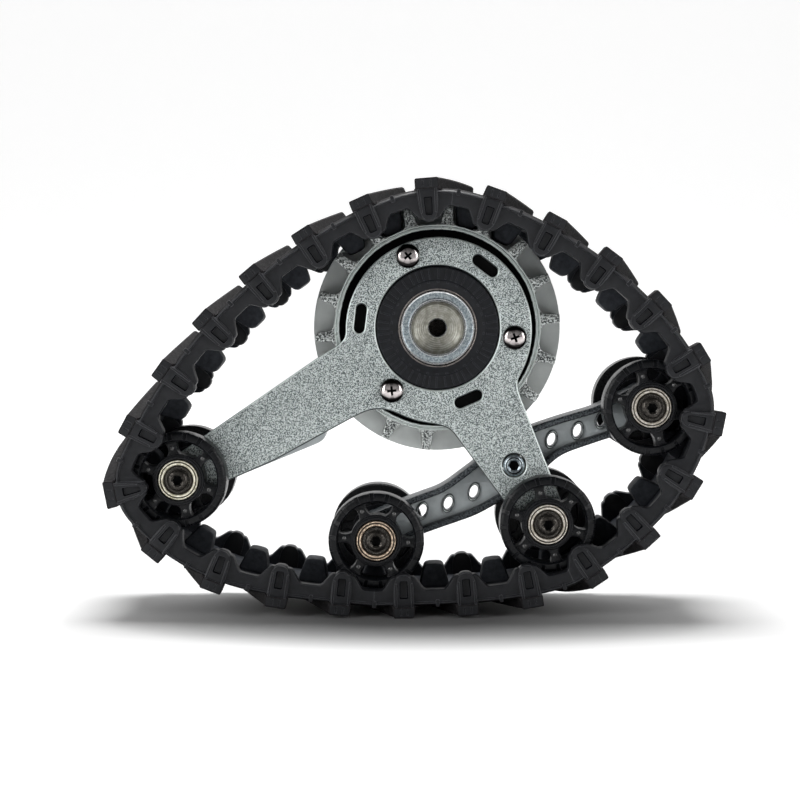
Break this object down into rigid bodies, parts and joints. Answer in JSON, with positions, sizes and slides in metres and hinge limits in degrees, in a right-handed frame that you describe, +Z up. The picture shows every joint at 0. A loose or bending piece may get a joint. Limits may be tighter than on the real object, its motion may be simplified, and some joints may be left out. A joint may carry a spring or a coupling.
{
  "type": "rubber track unit",
  "caption": "Triangular rubber track unit: a ribbed sprocket, wheel pairs on a two-arm frame and a rocker, and a chevron belt, driven through a hex hub.",
  "frame": {"origin": "centre of the bounding box in X and Y, on the plane under the lowest tread bar", "axes": "+Z up, +X along the unit towards the rocker's upper wheel, -Y towards the outer (hub cup) face, +Y towards the vehicle"},
  "size_m": [0.1706, 0.044, 0.1207],
  "materials": {
    "belt_rubber": "matt moulded rubber",
    "cast_metal": "cast, bead-blasted webs and rough bright edges",
    "plate_metal": "grey-green, fine hammered texture, bright edges",
    "wheel_plastic": "satin black nylon",
    "carrier_plastic": "matt black nylon",
    "bright_steel": "turned and ground steel",
    "dark_steel": "blackened steel",
    "bush_bronze": "sintered bronze"
  },
  "bodies": {
    "frame": {"front_side_plate": "plate_metal", "rear_side_plate": "plate_metal", "front_bearing_carrier": "carrier_plastic", "rear_bearing_carrier": "carrier_plastic", "front_hub_bearing_outer_race": "bright_steel", "rear_hub_bearing_outer_race": "bright_steel", "front_plate_screw_1": "bright_steel", "front_plate_screw_2": "bright_steel", "front_plate_screw_3": "bright_steel", "rear_plate_screw_1": "bright_steel", "rear_plate_screw_2": "bright_steel", "rear_plate_screw_3": "bright_steel", "left_idler_axle": "dark_steel", "left_idler_spacer": "plate_metal", "front_left_idler_screw": "dark_steel", "rear_left_idler_screw": "dark_steel", "low_idler_axle": "dark_steel", "low_idler_spacer": "plate_metal", "front_low_idler_screw": "dark_steel", "rear_low_idler_screw": "dark_steel", "rocker_pivot_pin": "bright_steel", "front_pivot_screw": "dark_steel", "rear_pivot_screw": "dark_steel", "arm_spacer_block": "plate_metal", "track_belt": "belt_rubber"},
    "drive": {"drive_sprocket": "cast_metal", "drive_hub": "bright_steel", "hex_drive_adapter": "dark_steel", "front_hub_bearing_inner_race": "bright_steel", "rear_hub_bearing_inner_race": "bright_steel"},
    "rocker": {"rocker_arm": "cast_metal", "rocker_pivot_bush": "bush_bronze", "left_road_axle": "dark_steel", "front_left_road_screw": "dark_steel", "rear_left_road_screw": "dark_steel", "right_road_axle": "dark_steel", "front_right_road_screw": "dark_steel", "rear_right_road_screw": "dark_steel"},
    "front_left_idler": {"front_left_idler_wheel": "wheel_plastic", "front_left_idler_bearing": "bright_steel"},
    "rear_left_idler": {"rear_left_idler_wheel": "wheel_plastic", "rear_left_idler_bearing": "bright_steel"},
    "front_left_road": {"front_left_road_wheel": "wheel_plastic", "front_left_road_bearing": "bright_steel"},
    "rear_left_road": {"rear_left_road_wheel": "wheel_plastic", "rear_left_road_bearing": "bright_steel"},
    "front_low_idler": {"front_low_idler_wheel": "wheel_plastic", "front_low_idler_bearing": "bright_steel"},
    "rear_low_idler": {"rear_low_idler_wheel": "wheel_plastic", "rear_low_idler_bearing": "bright_steel"},
    "front_right_road": {"front_right_road_wheel": "wheel_plastic", "front_right_road_bearing": "bright_steel"},
    "rear_right_road": {"rear_right_road_wheel": "wheel_plastic", "rear_right_road_bearing": "bright_steel"}
  },
  "joints": [
    {"name": "rocker_tilt", "type": "hinge", "parent": "frame", "child": "rocker", "pos_m": [0.0282, 0, 0.04104], "axis": [0, 1, 0], "range_deg": [-8, 8], "stiffness_Nm_per_rad": 0.6, "deforming": ["track_belt"]},
    {"name": "front_left_idler_spin", "type": "hinge", "parent": "frame", "child": "front_left_idler", "pos_m": [-0.0652, 0, 0.03764], "axis": [0, 1, 0], "continuous": true},
    {"name": "rear_left_idler_spin", "type": "hinge", "parent": "frame", "child": "rear_left_idler", "pos_m": [-0.0652, 0, 0.03764], "axis": [0, 1, 0], "continuous": true},
    {"name": "front_left_road_spin", "type": "hinge", "parent": "rocker", "child": "front_left_road", "pos_m": [-0.0104, 0, 0.02074], "axis": [0, 1, 0], "continuous": true},
    {"name": "rear_left_road_spin", "type": "hinge", "parent": "rocker", "child": "rear_left_road", "pos_m": [-0.0104, 0, 0.02074], "axis": [0, 1, 0], "continuous": true},
    {"name": "front_low_idler_spin", "type": "hinge", "parent": "frame", "child": "front_low_idler", "pos_m": [0.0372, 0, 0.02534], "axis": [0, 1, 0], "continuous": true},
    {"name": "rear_low_idler_spin", "type": "hinge", "parent": "frame", "child": "rear_low_idler", "pos_m": [0.0372, 0, 0.02534], "axis": [0, 1, 0], "continuous": true},
    {"name": "front_right_road_spin", "type": "hinge", "parent": "rocker", "child": "front_right_road", "pos_m": [0.0656, 0, 0.05774], "axis": [0, 1, 0], "continuous": true},
    {"name": "rear_right_road_spin", "type": "hinge", "parent": "rocker", "child": "rear_right_road", "pos_m": [0.0656, 0, 0.05774], "axis": [0, 1, 0], "continuous": true},
    {"name": "sprocket_spin", "type": "hinge", "parent": "frame", "child": "drive", "pos_m": [0.0067, 0, 0.07964], "axis": [0, 1, 0], "continuous": true}
  ],
  "couplings": [
    {"joint": "rear_left_idler_spin", "follows": "front_left_idler_spin", "ratio": 1},
    {"joint": "front_left_road_spin", "follows": "front_left_idler_spin", "ratio": 1},
    {"joint": "rear_left_road_spin", "follows": "front_left_idler_spin", "ratio": 1},
    {"joint": "front_low_idler_spin", "follows": "front_left_idler_spin", "ratio": 1},
    {"joint": "rear_low_idler_spin", "follows": "front_left_idler_spin", "ratio": 1},
    {"joint": "front_right_road_spin", "follows": "front_left_idler_spin", "ratio": 1},
    {"joint": "rear_right_road_spin", "follows": "front_left_idler_spin", "ratio": 1},
    {"joint": "sprocket_spin", "follows": "front_left_idler_spin", "ratio": 0.44444}
  ]
}
